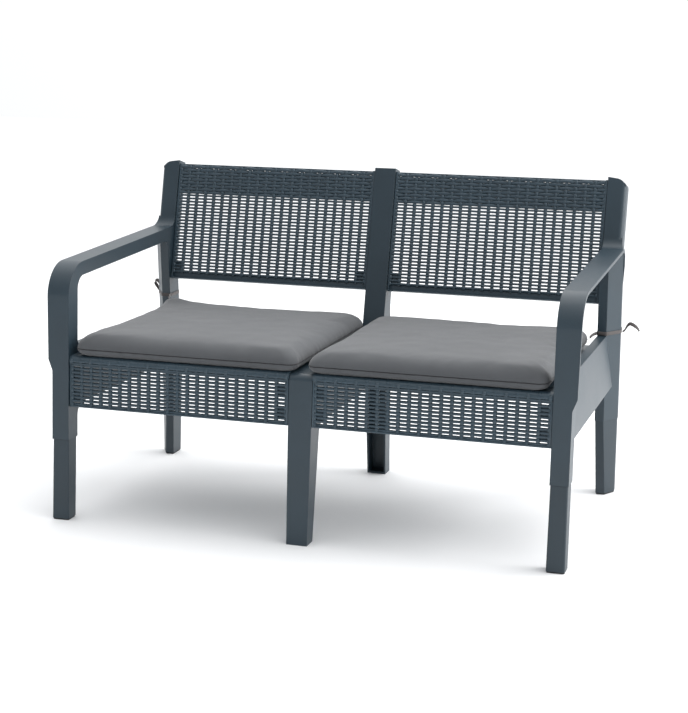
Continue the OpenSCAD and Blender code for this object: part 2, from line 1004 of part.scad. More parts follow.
// The closed form of a cushion, moved inwards by t
module cushion_form(t) {
    edge_t = cushion_t * 0.45;
    r = 30;
    y_mid = cushion_y0 + cushion_d / 2;
    hull() {
        translate([cushion_x, y_mid, cushion_z + t])
            linear_extrude(edge_t - 2 * t)
                rounded_rect(cushion_w - 2 * t, cushion_d - 2 * t, r);
        translate([cushion_x, y_mid, cushion_z + t])
            linear_extrude(cushion_t - 2 * t)
                rounded_rect(cushion_w - 90 - 2 * t, cushion_d - 90 - 2 * t, 2 * r);
    }
}

module cushion_cover(s) {
    color(cover_grey)
        for_side(s)
            difference() {
                cushion_form(0);
                cushion_form(cover_t);
            }
}

module cushion_pad(s) {
    color(pad_white)
        for_side(s)
            cushion_form(cover_t + 1);
}

// Height of each cushion's tie
function tie_z(s) = s == RIGHT ? tie_h : tie_h + tie_rise;

// Where a tie's knot sits, behind the outer corner of the rear leg
knot_w = 12;
tie_gap = 0.5;
knot_x = x_in + rear_leg_w + tie_gap + tie_t - knot_w;
function knot_y(s) = heel_y(tie_z(s)) + tie_gap + tie_w / 2;

// The loose ends, as [X, Z] points from the knot's outer side
TAIL_ROUTE = [[0, 0], [5, 4], [10, 13], [16, 20], [23, 19], [30, 15], [36, 10], [41, 3]];
LOOP_ROUTE = [
    [0, 0], [4, 3], [8, 9], [12, 15], [16, 21], [17, 26], [13, 30], [8, 28], [4, 22], [2, 16], [1.5, 11]
];

// The two sides of a ribbon that follows a route
function ribbon_side(route, offset) =
    [
        for (i = [0 : len(route) - 1])
            let (
                last = len(route) - 1,
                along = unit(route[min(i + 1, last)] - route[max(i - 1, 0)])
            )
            route[i] + offset * [-along[1], along[0]]
    ];
function backwards(list) = [for (i = [len(list) - 1 : -1 : 0]) list[i]];

module loose_ribbon(s, route) {
    outline = concat(ribbon_side(route, tie_t / 2), backwards(ribbon_side(route, -tie_t / 2)));
    color(ribbon_brown)
        for_side(s)
            translate([knot_x + knot_w + tie_gap, knot_y(s), tie_z(s) + tie_t])
                rotate([90, 0, 0])
                    linear_extrude(tie_w, center = true)
                        polygon(outline);
}

// A ribbon sewn to the cushion's corner and knotted round the rear leg
module cushion_tie(s) {
    z = tie_z(s);
    corner_x = cushion_x + cushion_w / 2 - 10;
    corner_y = cushion_y0 + cushion_d - 4;
    leg_x = x_in - tie_gap - tie_t;
    color(ribbon_brown)
        for_side(s) {
            intersection() {
                translate([0, rear_foot_y, 0])
                    rotate([rear_lean, 0, 0])
                        linear_extrude(bench_h)
                            difference() {
                                rear_socket_plan(rear_leg_d, -tie_gap - tie_t);
                                rear_socket_plan(rear_leg_d, -tie_gap);
                            }
                translate([0, 0, z])
                    cube([side, side, tie_w]);
            }
            translate([0, 0, z])
                linear_extrude(tie_w)
                    polygon([
                        [corner_x, corner_y],
                        [leg_x, rear_y(z) - 1],
                        [leg_x, rear_y(z) + 2],
                        [corner_x - tie_t, corner_y]
                    ]);
            translate([knot_x, knot_y(s) - tie_w / 2, z])
                cube([knot_w, tie_w, tie_w + 3]);
        }
}

side_frame(LEFT);  // side_frame_left
side_frame(RIGHT);  // side_frame_right
centre_frame();
lower_leg_front(LEFT);  // leg_front_left
lower_leg_front(RIGHT);  // leg_front_right
lower_leg_rear(LEFT);  // leg_rear_left
lower_leg_rear(RIGHT);  // leg_rear_right
foot_cap_front(LEFT);  // foot_cap_front_left
foot_cap_front(RIGHT);  // foot_cap_front_right
foot_cap_rear(LEFT);  // foot_cap_rear_left
foot_cap_rear(RIGHT);  // foot_cap_rear_right
seat_panel(LEFT);  // seat_panel_left
seat_panel(RIGHT);  // seat_panel_right
front_apron(LEFT);  // front_apron_left
front_apron(RIGHT);  // front_apron_right
back_panel(LEFT);  // back_panel_left
back_panel(RIGHT);  // back_panel_right
seat_screws();
apron_screws();
back_panel_screws();
cushion_cover(LEFT);  // cushion_cover_left
cushion_cover(RIGHT);  // cushion_cover_right
cushion_pad(LEFT);  // cushion_pad_left
cushion_pad(RIGHT);  // cushion_pad_right
cushion_tie(LEFT);  // cushion_tie_left
cushion_tie(RIGHT);  // cushion_tie_right
loose_ribbon(LEFT, LOOP_ROUTE);  // tie_loop_left
loose_ribbon(RIGHT, TAIL_ROUTE);  // tie_tail_right
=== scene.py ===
"""Two-seat resin garden bench: camera, ties, woven panels, frames, cushions, light.

Lengths are in metres in the row frame: +X along the bench, the seats face -Y, +Z up.
"""

import math

import bmesh
import bpy
from mathutils import Matrix, Vector, noise


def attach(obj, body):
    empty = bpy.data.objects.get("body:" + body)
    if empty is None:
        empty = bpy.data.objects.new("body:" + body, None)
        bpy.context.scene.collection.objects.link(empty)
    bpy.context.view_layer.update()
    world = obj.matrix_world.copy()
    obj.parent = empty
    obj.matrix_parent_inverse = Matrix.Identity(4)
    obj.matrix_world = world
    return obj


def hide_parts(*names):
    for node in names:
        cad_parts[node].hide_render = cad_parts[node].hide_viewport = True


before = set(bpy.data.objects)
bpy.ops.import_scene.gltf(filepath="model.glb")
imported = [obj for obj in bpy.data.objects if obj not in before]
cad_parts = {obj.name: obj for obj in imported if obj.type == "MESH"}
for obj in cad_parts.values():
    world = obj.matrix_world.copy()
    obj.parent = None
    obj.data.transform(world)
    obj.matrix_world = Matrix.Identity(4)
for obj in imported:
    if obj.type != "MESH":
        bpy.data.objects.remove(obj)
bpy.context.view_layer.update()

MM = 0.001
BODY = "root"

# ---------------------------------------------------------------- camera

CAMERA_AT = Vector((1.1297, -3.6720, 1.1371))
CAMERA_AZIMUTH = math.radians(17.17)
CAMERA_ELEVATION = math.radians(11.42)
CAMERA_ROLL = math.radians(0.72)
CAMERA_LENS = 83.05


def make_camera():
    az, el, roll = CAMERA_AZIMUTH, CAMERA_ELEVATION, CAMERA_ROLL
    back = Vector((math.sin(az) * math.cos(el), -math.cos(az) * math.cos(el), math.sin(el)))
    right = (-back).cross(Vector((0, 0, 1))).normalized()
    up = right.cross(-back)
    x_axis = math.cos(roll) * right + math.sin(roll) * up
    y_axis = -math.sin(roll) * right + math.cos(roll) * up
    data = bpy.data.cameras.new("camera")
    data.lens = CAMERA_LENS
    data.sensor_width = 36
    data.clip_start, data.clip_end = 0.05, 60
    cam = bpy.data.objects.new("camera", data)
    cam.matrix_world = Matrix(
        (
            (x_axis.x, y_axis.x, back.x, CAMERA_AT.x),
            (x_axis.y, y_axis.y, back.y, CAMERA_AT.y),
            (x_axis.z, y_axis.z, back.z, CAMERA_AT.z),
            (0, 0, 0, 1),
        )
    )
    bpy.context.scene.collection.objects.link(cam)
    bpy.context.scene.camera = cam


make_camera()

# ---------------------------------------------------------------- materials


def new_material(name):
    mat = bpy.data.materials.new(name)
    mat.use_nodes = True
    tree = mat.node_tree
    shader = tree.nodes["Principled BSDF"]
    coords = tree.nodes.new("ShaderNodeTexCoord")
    return mat, tree, shader, coords.outputs["Object"]


def noise_node(tree, coords, scale, detail=2.0, roughness=0.5):
    node = tree.nodes.new("ShaderNodeTexNoise")
    node.inputs["Scale"].default_value = scale
    node.inputs["Detail"].default_value = detail
    node.inputs["Roughness"].default_value = roughness
    tree.links.new(coords, node.inputs["Vector"])
    return node.outputs["Fac"]


def ramp(tree, fac, stops):
    """A colour ramp; stops are (place, rgb)."""
    node = tree.nodes.new("ShaderNodeValToRGB")
    points = node.color_ramp.elements
    while len(points) < len(stops):
        points.new(0.5)
    for point, (place, rgb) in zip(points, stops):
        point.position = place
        point.color = (*rgb, 1)
    tree.links.new(fac, node.inputs["Fac"])
    return node.outputs["Color"]


def remap(tree, fac, low, high):
    node = tree.nodes.new("ShaderNodeMapRange")
    node.inputs["To Min"].default_value = low
    node.inputs["To Max"].default_value = high
    tree.links.new(fac, node.inputs["Value"])
    return node.outputs["Result"]


def math_node(tree, operation, a, b):
    node = tree.nodes.new("ShaderNodeMath")
    node.operation = operation
    for socket, value in zip(node.inputs, (a, b)):
        if isinstance(value, (int, float)):
            socket.default_value = value
        else:
            tree.links.new(value, socket)
    return node.outputs["Value"]


def add_bump(tree, shader, height, strength, distance, edge_radius=0.0):
    node = tree.nodes.new("ShaderNodeBump")
    if edge_radius > 0:
        edges = tree.nodes.new("ShaderNodeBevel")
        edges.samples = 4
        edges.inputs["Radius"].default_value = edge_radius
        tree.links.new(edges.outputs["Normal"], node.inputs["Normal"])
    node.inputs["Strength"].default_value = strength
    node.inputs["Distance"].default_value = distance
    tree.links.new(height, node.inputs["Height"])
    tree.links.new(node.outputs["Normal"], shader.inputs["Normal"])


def scaled(rgb, k):
    return tuple(c * k for c in rgb)


def resin_material(name, rgb, rough=0.42, grain=900.0, edge_radius=0.0):
    """Moulded polypropylene: fine grain, faint flow marks and uneven sheen."""
    mat, tree, shader, coords = new_material(name)
    flow = noise_node(tree, coords, 9.0, 3.0)
    fine = noise_node(tree, coords, grain, 2.0)
    flow_share = math_node(tree, "MULTIPLY", flow, 0.6)
    fine_share = math_node(tree, "MULTIPLY", fine, 0.4)
    both = math_node(tree, "ADD", flow_share, fine_share)
    colour = ramp(tree, both, [(0.3, scaled(rgb, 0.86)), (0.5, rgb), (0.7, scaled(rgb, 1.16))])
    tree.links.new(colour, shader.inputs["Base Color"])
    tree.links.new(remap(tree, both, rough - 0.08, rough + 0.08), shader.inputs["Roughness"])
    shader.inputs["IOR"].default_value = 1.5
    add_bump(tree, shader, fine, 0.25, 0.0002, edge_radius)
    return mat


def rubber_material(name):
    mat, tree, shader, coords = new_material(name)
    dust = noise_node(tree, coords, 60.0, 4.0)
    colour = ramp(tree, dust, [(0.35, (0.006, 0.006, 0.007)), (0.75, (0.022, 0.021, 0.02))])
    tree.links.new(colour, shader.inputs["Base Color"])
    tree.links.new(remap(tree, dust, 0.55, 0.8), shader.inputs["Roughness"])
    add_bump(tree, shader, noise_node(tree, coords, 700.0), 0.3, 0.0003)
    return mat


def steel_material(name):
    mat, tree, shader, coords = new_material(name)
    spots = noise_node(tree, coords, 220.0, 3.0)
    colour = ramp(tree, spots, [(0.3, (0.42, 0.43, 0.44)), (0.7, (0.62, 0.63, 0.64))])
    tree.links.new(colour, shader.inputs["Base Color"])
    tree.links.new(remap(tree, spots, 0.28, 0.45), shader.inputs["Roughness"])
    shader.inputs["Metallic"].default_value = 1.0
    return mat


def wave_node(tree, coords, direction, scale):
    node = tree.nodes.new("ShaderNodeTexWave")
    node.wave_type = "BANDS"
    node.bands_direction = direction
    node.inputs["Scale"].default_value = scale
    node.inputs["Distortion"].default_value = 0.6
    node.inputs["Detail"].default_value = 1.0
    tree.links.new(coords, node.inputs["Vector"])
    return node.outputs["Fac"]


def fabric_material(name, rgb, thread=260.0, rough=0.85):
    """Plain woven cloth: two crossed thread directions over a soft mottle."""
    mat, tree, shader, coords = new_material(name)
    across = wave_node(tree, coords, "X", thread)
    along = wave_node(tree, coords, "Y", thread)
    threads = math_node(tree, "MULTIPLY", math_node(tree, "ADD", across, along), 0.5)
    mottle = noise_node(tree, coords, 14.0, 5.0, 0.6)
    slub = noise_node(tree, coords, 420.0, 2.0)
    shade = math_node(
        tree,
        "ADD",
        math_node(tree, "MULTIPLY", mottle, 0.5),
        math_node(
            tree,
            "ADD",
            math_node(tree, "MULTIPLY", slub, 0.25),
            math_node(tree, "MULTIPLY", threads, 0.25),
        ),
    )
    colour = ramp(tree, shade, [(0.25, scaled(rgb, 0.86)), (0.5, rgb), (0.75, scaled(rgb, 1.12))])
    tree.links.new(colour, shader.inputs["Base Color"])
    tree.links.new(remap(tree, slub, rough - 0.06, rough + 0.06), shader.inputs["Roughness"])
    shader.inputs["Sheen Weight"].default_value = 0.25
    shader.inputs["Sheen Roughness"].default_value = 0.5
    shader.inputs["Specular IOR Level"].default_value = 0.3
    add_bump(tree, shader, threads, 0.35, 0.0003)
    return mat


RESIN = (0.019, 0.035, 0.048)
EDGE_R = 2.0 * MM
RESIN_MAT = resin_material("frame_resin", RESIN, 0.4, edge_radius=EDGE_R)
# The legs take the frame resin darkened to 0.86: painted shade for their shadowed faces, not a different
# plastic.
LEG_SHADED_MAT = resin_material("leg_resin_painted_shade", scaled(RESIN, 0.86), 0.44, edge_radius=EDGE_R)
# The woven panels and seats take the frame resin lightened by 1.35: painted light for their
# upward-leaning faces, not a different plastic.
WEAVE_LIT_MAT = resin_material("woven_resin", scaled(RESIN, 1.35), 0.4, 1200.0)
RUBBER_MAT = rubber_material("foot_rubber")
STEEL_MAT = steel_material("screw_steel")
FABRIC_MAT = fabric_material("cushion_fabric", (0.074, 0.078, 0.084))
# Near-black seam tube: painted shade in the cushion's seam groove, not a thread colour.
SEAM_SHADE_MAT = fabric_material("seam_painted_shade", (0.012, 0.012, 0.014), 600.0)
TIE_MAT = fabric_material("tie_ribbon", (0.075, 0.066, 0.064), 600.0, 0.7)

# ---------------------------------------------------------------- mesh helpers


def add_rings(bm, rings, closed=False):
    """Joins rings of points, each as long as the others, into a tube."""
    rows = [[bm.verts.new(p) for p in ring] for ring in rings]
    n = len(rows[0])
    pairs = list(zip(rows, rows[1:]))
    if closed:
        pairs.append((rows[-1], rows[0]))
    for low, high in pairs:
        for k in range(n):
            bm.faces.new((low[k], low[(k + 1) % n], high[(k + 1) % n], high[k]))
    if not closed:
        bm.faces.new(rows[0][::-1])
        bm.faces.new(rows[-1])


def finish_mesh(name, bm, material, smooth=True):
    bmesh.ops.recalc_face_normals(bm, faces=bm.faces)
    data = bpy.data.meshes.new(name)
    bm.to_mesh(data)
    bm.free()
    if smooth:
        data.polygons.foreach_set("use_smooth", [True] * len(data.polygons))
    obj = bpy.data.objects.new(name, data)
    bpy.context.scene.collection.objects.link(obj)
    data.materials.append(material)
    return obj


def add_block(bm, low, high, to_world, bevel=0.0):
    """A block with rounded edges between two corners, placed by to_world(point)."""
    made = bmesh.ops.create_cube(bm, size=1.0)["verts"]
    centre = (Vector(low) + Vector(high)) / 2
    size = Vector(high) - Vector(low)
    for v in made:
        v.co = centre + Vector((v.co.x * size.x, v.co.y * size.y, v.co.z * size.z))
    if bevel > 0:
        edges = list({e for v in made for e in v.link_edges})
        out = bmesh.ops.bevel(bm, geom=edges, offset=bevel, segments=2, profile=0.5, affect="EDGES")
        made = list({v for f in out["faces"] for v in f.verts} | {v for v in made if v.is_valid})
    for v in made:
        v.co = to_world(v.co)


def smooth_route(points, steps):
    """Points on a smooth curve through the given ones, steps to a stretch."""
    pts = [2 * points[0] - points[1], *points, 2 * points[-1] - points[-2]]
    out = []
    for i in range(1, len(pts) - 2):
        p0, p1, p2, p3 = pts[i - 1 : i + 3]
        for k in range(steps):
            t = k / steps
            out.append(
                0.5
                * (
                    2 * p1
                    + (p2 - p0) * t
                    + (2 * p0 - 5 * p1 + 4 * p2 - p3) * t * t
                    + (3 * p1 - p0 - 3 * p2 + p3) * t * t * t
                )
            )
    out.append(points[-1].copy())
    return out


def place_piece(obj, nodes):
    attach(obj, BODY)
    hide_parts(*nodes)


# ---------------------------------------------------------------- ties

REAR_LEAN = math.radians(4.2)
REAR_FOOT_Y = 280 * MM
LEG_X = 559 * MM
TIE_W = 9 * MM
TIE_T = 1.2 * MM
TIE_GAP = 0.5 * MM
TIE_Z = {1: 407 * MM, -1: 434 * MM}
KNOT_X1 = 610.7 * MM
BAND_SECTION = [
    (-TIE_T / 2, -TIE_W * 0.45), (0, -TIE_W / 2), (TIE_T / 2, -TIE_W * 0.45), (TIE_T * 0.35, 0),
    (TIE_T / 2, TIE_W * 0.45), (0, TIE_W / 2), (-TIE_T / 2, TIE_W * 0.45), (-TIE_T * 0.35, 0),
]  # fmt: skip
REAR_LEG_D = 58 * MM
TAIL_ROUTE = [(0, 0), (5, 4), (10, 13), (16, 20), (23, 19), (30, 15), (36, 10), (41, 3)]
LOOP_ROUTE = [
    (0, 0), (4, 3), (8, 9), (12, 15), (16, 21), (17, 26), (13, 30), (8, 28), (4, 22), (2, 16), (1.5, 11),
]  # fmt: skip


def rear_y(z):
    return REAR_FOOT_Y - z * math.tan(REAR_LEAN)


def knot_y(side):
    return rear_y(TIE_Z[side]) + REAR_LEG_D + TIE_GAP + TIE_W / 2


def ribbon_rings(route, across, width, thick):
    """Rings of a flat ribbon along a route; across(i) is its width's direction."""
    rings = []
    last = len(route) - 1
    for i, p in enumerate(route):
        along = (route[min(i + 1, last)] - route[max(i - 1, 0)]).normalized()
        wide = across(i)
        wide = (wide - wide.dot(along) * along).normalized()
        out = along.cross(wide)
        w, t = width / 2, thick / 2
        shape = [
            (-w, 0), (-0.9 * w, t), (0, 0.75 * t), (0.9 * w, t),
            (w, 0), (0.9 * w, -t), (0, -0.75 * t), (-0.9 * w, -t),
        ]  # fmt: skip
        rings.append([p + a * wide + b * out for a, b in shape])
    return rings


def loose_ribbon(name, side, route_mm, node):
    start = Vector((side * (KNOT_X1 + TIE_GAP), knot_y(side), TIE_Z[side] + TIE_T))
    points = [start + Vector((side * x * MM, 0, z * MM)) for x, z in route_mm]
    route = smooth_route(points, 4)
    bm = bmesh.new()
    count = len(route)

    def across(i):
        turn = 0.3 + 0.8 * math.sin(math.pi * i / count)
        return Vector((0, math.cos(turn), math.sin(turn)))

    add_rings(bm, ribbon_rings(route, across, TIE_W, TIE_T))
    obj = finish_mesh(name, bm, TIE_MAT)
    place_piece(obj, [node])


loose_ribbon("tie_tail_right_ribbon", 1, TAIL_ROUTE, "tie_tail_right")
loose_ribbon("tie_loop_left_ribbon", -1, LOOP_ROUTE, "tie_loop_left")


def leg_plan(offset):
    """The rear leg's outline, moved outwards by offset."""
    turn = math.atan2(44, 28)
    t = -offset / MM
    plan = [
        (t, t),
        (22 - t * math.tan(turn / 2), t),
        (50 - t, 44 + t * math.tan(math.pi / 4 - turn / 2)),
        (50 - t, 58 - t),
        (t, 58 - t),
    ]
    return [(x * MM, y * MM) for x, y in plan]


def tie_band(name, side, node):
    """Ribbon from the cushion's corner, round the rear leg, to its knot."""
    z = TIE_Z[side] + TIE_W / 2
    bm = bmesh.new()
    loop = []
    plan = leg_plan(TIE_GAP + TIE_T / 2)
    for i, (x, y) in enumerate(plan):
        nx, ny = plan[(i + 1) % len(plan)]
        for k in range(6):
            t = 0.04 + 0.92 * k / 5
            sag = 0.6 * MM * math.sin(3.1 * (i * 6 + k))
            px, py = x + (nx - x) * t, y + (ny - y) * t
            loop.append(Vector((side * (LEG_X + px), rear_y(z) + py, z + sag)))
    add_rings(
        bm,
        [
            [p + Vector((a * out.x, a * out.y, b)) for a, b in BAND_SECTION]
            for p, out in zip(loop, ring_normals(loop, side))
        ],
        closed=True,
    )
    corner = Vector((side * 547 * MM, 209 * MM, z - 4 * MM))
    leg_corner = Vector((side * (LEG_X - 1.3 * MM), rear_y(z) - 1 * MM, z))
    strip = smooth_route([corner, corner.lerp(leg_corner, 0.5) + Vector((0, 0, 2 * MM)), leg_corner], 5)
    add_rings(bm, ribbon_rings(strip, lambda i: Vector((0, 0, 1)), TIE_W * 0.9, TIE_T))
    knot = Vector((side * (KNOT_X1 - 6 * MM), knot_y(side), z + 1 * MM))
    for turn, (dx, dz) in enumerate([(0, 0), (2, 2), (-2, -1)]):
        wraps = []
        for k in range(10):
            a = 2 * math.pi * k / 10
            wraps.append(
                knot
                + Vector((side * dx * MM, 0, dz * MM))
                + Vector((
                    side * 3.4 * MM * math.cos(a) * math.cos(turn),
                    2.9 * MM * math.sin(a),
                    4.2 * MM * math.cos(a) * math.sin(turn + 1.2),
                ))
            )
        rings = []
        for k, p in enumerate(wraps):
            along = (wraps[(k + 1) % 10] - wraps[k - 1]).normalized()
            wide = along.cross(Vector((side, 0.3, 0.4))).normalized()
            out = along.cross(wide)
            rings.append(
                [
                    p + 2.6 * MM * math.cos(b) * wide + 1.1 * MM * math.sin(b) * out
                    for b in (math.pi * j / 4 for j in range(8))
                ]
            )
        add_rings(bm, rings, closed=True)
    obj = finish_mesh(name, bm, TIE_MAT)
    place_piece(obj, [node])


def ring_normals(loop, side):
    """Level outward directions along a closed loop, which runs the other way on the left."""
    out = []
    for k in range(len(loop)):
        along = loop[(k + 1) % len(loop)] - loop[k - 1]
        out.append(side * Vector((along.y, -along.x, 0)).normalized())
    return out


tie_band("tie_band_right", 1, "cushion_tie_right")
tie_band("tie_band_left", -1, "cushion_tie_left")

# ---------------------------------------------------------------- woven panels

PANEL_X0 = 28 * MM
PANEL_W = 530 * MM
RIB_PITCH = 23.6 * MM
STRAND_PITCH = 8.3 * MM
COLUMNS = 22
RIB_HALF = 3.9 * MM
RIB_THICK = 1.6 * MM
OPEN_HALF = 2.3 * MM
APRON_HALF = 2.65 * MM
BAND_HALF = 3.9 * MM
STRAND_THICK = 1.5 * MM
WEAVE_DEPTH = 1.4 * MM
WEAVE_W = -2.5 * MM
# An upright stands this share of the wave prouder than a strand, and widens where it does
RIB_PROUD = 0.2
RIB_WIDEN = 0.05
STEPS_UP = 4
STEPS_ALONG = 6
# How far back the moulded strands reach, and how much wider they grow there
WEAVE_BACK = -7.2 * MM
DRAFT = 0.3 * MM
BACK_LEAN = math.radians(13.3)
BACK_ORIGIN = Vector((PANEL_X0, 250.16 * MM, 484 * MM))
BACK_LEN = 301.07 * MM
BACK_RAIL = 17 * MM
BACK_ROWS = 34
APRON_LEAN = math.radians(2.64)
APRON_ORIGIN = Vector((PANEL_X0, -340.64 * MM, 268 * MM))
APRON_LEN = 103 * MM


def panel_place(side, origin, lean):
    """A function from panel points (across, up, forwards) to the row frame."""
    up = Vector((0, math.sin(lean), math.cos(lean)))
    forwards = Vector((0, -math.cos(lean), math.sin(lean)))

    def place(p):
        q = origin + Vector((p[0], 0, 0)) + p[1] * up + p[2] * forwards
        return Vector((side * q.x, q.y, q.z))

    return place


def moulded(half, thick, w, lean=0.0):
    """Section of a strand, (across it, forwards): rounded in front of w, and straight
    back to WEAVE_BACK along a level line on a panel that leans."""
    deep = WEAVE_BACK - w
    rise = -deep * math.tan(lean)
    return [
        (rise - half - DRAFT, deep), (-half, -0.7 * thick), (-0.93 * half, 0.1 * thick),
        (-0.7 * half, 0.65 * thick), (0, thick), (0.7 * half, 0.65 * thick),
        (0.93 * half, 0.1 * thick), (half, -0.7 * thick), (rise + half + DRAFT, deep),
    ]  # fmt: skip


def add_weave(bm, place, lean, low, rows, half_of, relief_of, wavy_top=0.0):
    """Uprights and strands that pass over and under one another.

    Row j's strand lies at low + j * STRAND_PITCH; half_of(j) is half its height and
    relief_of(v) scales the wave.
    """
    left = (PANEL_W - COLUMNS * RIB_PITCH) / 2
    for i in range(COLUMNS + 1):
        x = left + i * RIB_PITCH
        rings = []
        steps = (rows - 1) * STEPS_UP
        for k in range(-2, steps + 3):
            v = low + k * STRAND_PITCH / STEPS_UP
            bulge = math.cos(math.pi * (k / STEPS_UP + i))
            w = WEAVE_W + (RIB_PROUD + bulge) * WEAVE_DEPTH * relief_of(v)
            half = RIB_HALF * (1 + RIB_WIDEN * bulge)
            rings.append([place((x + a, v, w + b)) for a, b in moulded(half, RIB_THICK, w)])
        add_rings(bm, rings)
    for j in range(rows):
        v = low + j * STRAND_PITCH
        rings = []
        last = j == rows - 1
        for k in range(COLUMNS * STEPS_ALONG + 1):
            x = left + k * RIB_PITCH / STEPS_ALONG
            bulge = math.cos(math.pi * (k / STEPS_ALONG + j + 1))
            w = WEAVE_W + bulge * WEAVE_DEPTH * relief_of(v)
            lift = wavy_top * bulge if last else 0.0
            shape = moulded(half_of(j), STRAND_THICK, w, lean)
            rings.append([place((x, v + a + lift, w + b)) for a, b in shape])
        add_rings(bm, rings)


def add_frame_blocks(bm, place, length, depth, blocks):
    """The plain parts round a weave: side strips, end bosses and rails."""
    strip = (PANEL_W - COLUMNS * RIB_PITCH) / 2 - 0.6 * MM
    for x0, x1 in ((0, strip), (PANEL_W - strip, PANEL_W)):
        add_block(bm, (x0, 0, -depth), (x1, length, 0), place, 0.8 * MM)
    for low, high in blocks:
        add_block(bm, low, high, place, 0.8 * MM)


def woven_back(side, node):
    place = panel_place(side, BACK_ORIGIN, BACK_LEAN)
    bm = bmesh.new()
    first = BACK_RAIL + 1.25 * MM
    open_rows = 25

    def half_of(j):
        return OPEN_HALF if j < open_rows else BAND_HALF

    def relief_of(v):
        return 1.0 if v > first + (open_rows - 0.5) * STRAND_PITCH else 0.8

    add_weave(bm, place, BACK_LEAN, first, BACK_ROWS, half_of, relief_of, 0.9 * MM)
    depth = 26 * MM
    rail = BACK_RAIL
    boss = 26 * MM
    top = BACK_LEN
    blocks = [
        ((0, 0, -depth), (PANEL_W, 3 * MM, 2 * MM)),
        ((0, 2 * MM, -depth), (PANEL_W, rail + 1 * MM, -6 * MM)),
        ((0, top - 5 * MM, -depth), (PANEL_W, top - 1.5 * MM, -4.6 * MM)),
    ]
    for x in (0, PANEL_W - boss):
        for up in (rail + 13 * MM, top - 48 * MM):
            blocks.append(((x, up - 12 * MM, -depth), (x + boss, up + 12 * MM, -5.6 * MM)))
    add_frame_blocks(bm, place, top - 1 * MM, depth, blocks)
    obj = finish_mesh("woven_" + node, bm, WEAVE_LIT_MAT, False)
    shade_round(obj)
    place_piece(obj, [node])


def woven_apron(side, node):
    place = panel_place(side, APRON_ORIGIN, APRON_LEAN)
    bm = bmesh.new()
    first = 5.85 * MM
    rows = 12
    add_weave(bm, place, APRON_LEAN, first, rows, lambda j: APRON_HALF, lambda v: 0.8)
    depth = 20 * MM
    boss = 26 * MM
    blocks = [
        ((0, 0, -depth / 2), (PANEL_W, 4 * MM, 1 * MM)),
        ((0, APRON_LEN - 4 * MM, -depth / 2), (PANEL_W, APRON_LEN, 1 * MM)),
    ]
    for x in (0, PANEL_W - boss):
        for up in (26 * MM, APRON_LEN - 26 * MM):
            blocks.append(((x, up - 12 * MM, -depth), (x + boss, up + 12 * MM, -5.6 * MM)))
    add_frame_blocks(bm, place, APRON_LEN, depth, blocks)
    obj = finish_mesh("woven_" + node, bm, WEAVE_LIT_MAT, False)
    shade_round(obj)
    place_piece(obj, [node])


SEAT_ROWS_FROM = 107 * MM
SEAT_ROLL_FROM = 104 * MM
SEAT_ROLL_R = 15 * MM
SEAT_EDGE_W = 4.6 * MM
SEAT_STRAND_HALF = 2.9 * MM


def seat_edge_weave(bm, side):
    """The moulded weave that runs over the seat's rolled front edge, above the apron."""

    def place(p):
        rolled = max(0.0, p[1] - SEAT_ROLL_FROM)
        fall = SEAT_ROLL_R - math.sqrt(max(0.0, SEAT_ROLL_R**2 - rolled**2))
        return panel_place(side, APRON_ORIGIN, APRON_LEAN)((p[0], p[1], p[2] + SEAT_EDGE_W - fall))

    add_weave(bm, place, APRON_LEAN, SEAT_ROWS_FROM, 2, lambda j: SEAT_STRAND_HALF, lambda v: 0.8)


def shade_round(obj, angle=40):
    """Smooth shading, except across edges sharper than the angle."""
    data = obj.data
    data.polygons.foreach_set("use_smooth", [True] * len(data.polygons))
    bm = bmesh.new()
    bm.from_mesh(data)
    limit = math.radians(angle)
    for edge in bm.edges:
        edge.smooth = not (edge.is_manifold and edge.calc_face_angle(0) > limit)
    bm.to_mesh(data)
    bm.free()


for side, word in ((1, "right"), (-1, "left")):
    woven_back(side, "back_panel_" + word)
    woven_apron(side, "front_apron_" + word)

# ---------------------------------------------------------------- frames and legs

FRAME_BEVEL = 1.2 * MM


def softened(node, material, radius=FRAME_BEVEL, decorate=None):
    """A copy of a CAD node with its sharp edges rounded; decorate(bm) may add to it."""
    source = bpy.data.objects[node]
    bm = bmesh.new()
    bm.from_mesh(source.data)
    bmesh.ops.remove_doubles(bm, verts=bm.verts, dist=0.02 * MM)
    if decorate:
        decorate(bm)
    obj = finish_mesh(node + "_moulded", bm, material)
    shade_round(obj, 17)
    bevel = obj.modifiers.new("edges", "BEVEL")
    bevel.width = radius
    bevel.segments = 2
    bevel.limit_method = "ANGLE"
    bevel.angle_limit = math.radians(32)
    bevel.harden_normals = True
    bevel.use_clamp_overlap = True
    weight = obj.modifiers.new("shading", "WEIGHTED_NORMAL")
    weight.keep_sharp = True
    weight.weight = 80
    place_piece(obj, [node])
    return obj


for node in ("side_frame_left", "side_frame_right", "centre_frame"):
    softened(node, RESIN_MAT)
for word in ("front_left", "front_right", "rear_left", "rear_right"):
    softened("leg_" + word, LEG_SHADED_MAT)
    softened("foot_cap_" + word, RUBBER_MAT, 0.6 * MM)
for side, word in ((1, "right"), (-1, "left")):
    softened("seat_panel_" + word, WEAVE_LIT_MAT, 0.5 * MM, lambda bm, side=side: seat_edge_weave(bm, side))
for node in ("seat_screws", "apron_screws", "back_panel_screws"):
    softened(node, STEEL_MAT, 0.4 * MM)

# ---------------------------------------------------------------- cushions

